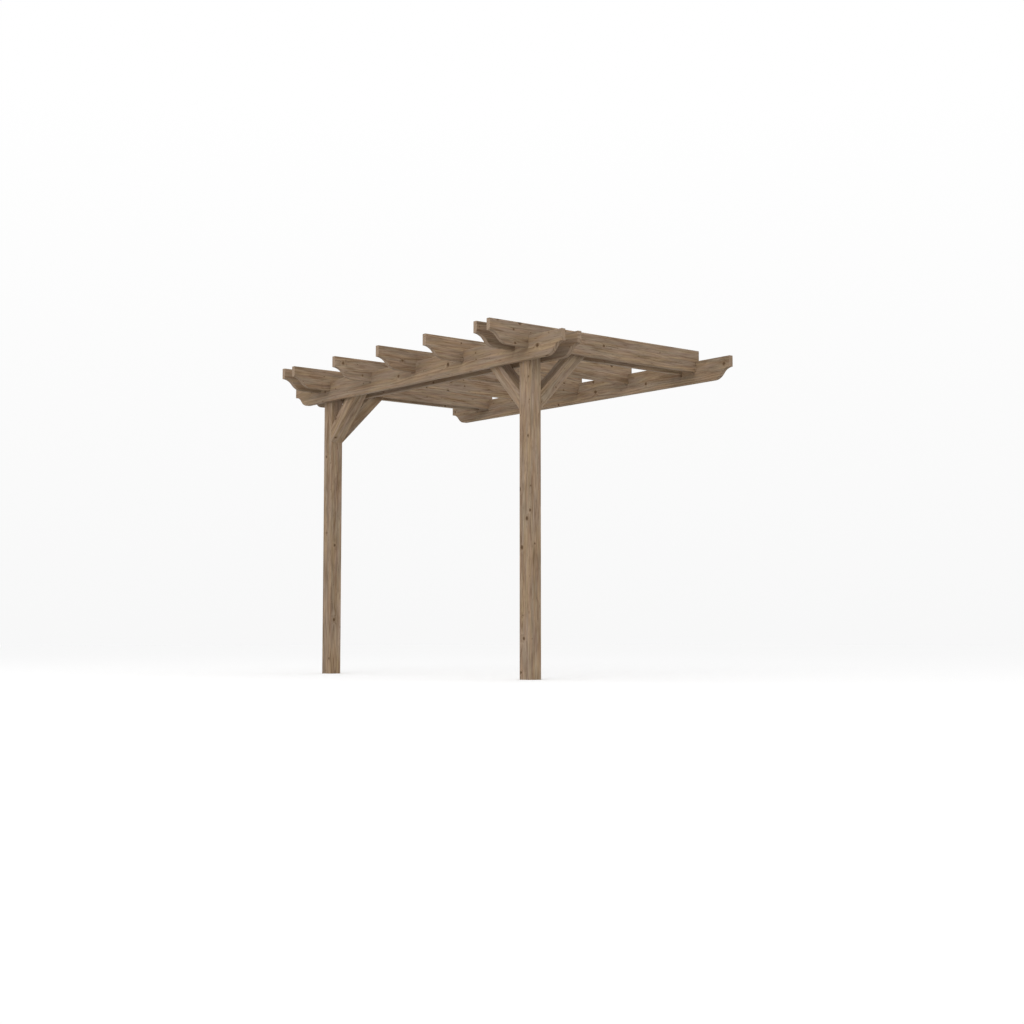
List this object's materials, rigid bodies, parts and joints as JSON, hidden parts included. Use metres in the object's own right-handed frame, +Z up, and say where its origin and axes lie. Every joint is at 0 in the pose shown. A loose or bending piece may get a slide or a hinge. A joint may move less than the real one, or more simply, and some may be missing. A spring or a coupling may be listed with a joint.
{
  "type": "wall-mounted pergola",
  "caption": "Open timber pergola that leans on a wall: square posts, paired front beams, notched rafters with S-curved tails, a wall beam and knee braces.",
  "frame": {"origin": "middle of the wall beam's back face, the face that is bolted to the wall", "axes": "+Z up, +X along the wall to the right as seen from the garden, +Y out of the back face into the wall"},
  "size_m": [2.979, 1.78, 2.1575],
  "materials": {
    "stained_softwood": "planed knotty softwood with a thin brown-grey stain, matt"
  },
  "bodies": {
    "root": {"post_left": "stained_softwood", "post_right": "stained_softwood", "front_beam_outer": "stained_softwood", "front_beam_inner": "stained_softwood", "wall_beam": "stained_softwood", "rafter_1": "stained_softwood", "rafter_2": "stained_softwood", "rafter_3": "stained_softwood", "rafter_4": "stained_softwood", "rafter_5": "stained_softwood", "rafter_6": "stained_softwood", "rafter_7": "stained_softwood", "brace_left_to_beam": "stained_softwood", "brace_left_to_wall": "stained_softwood", "brace_right_to_beam": "stained_softwood", "brace_right_to_wall": "stained_softwood"}
  },
  "joints": []
}
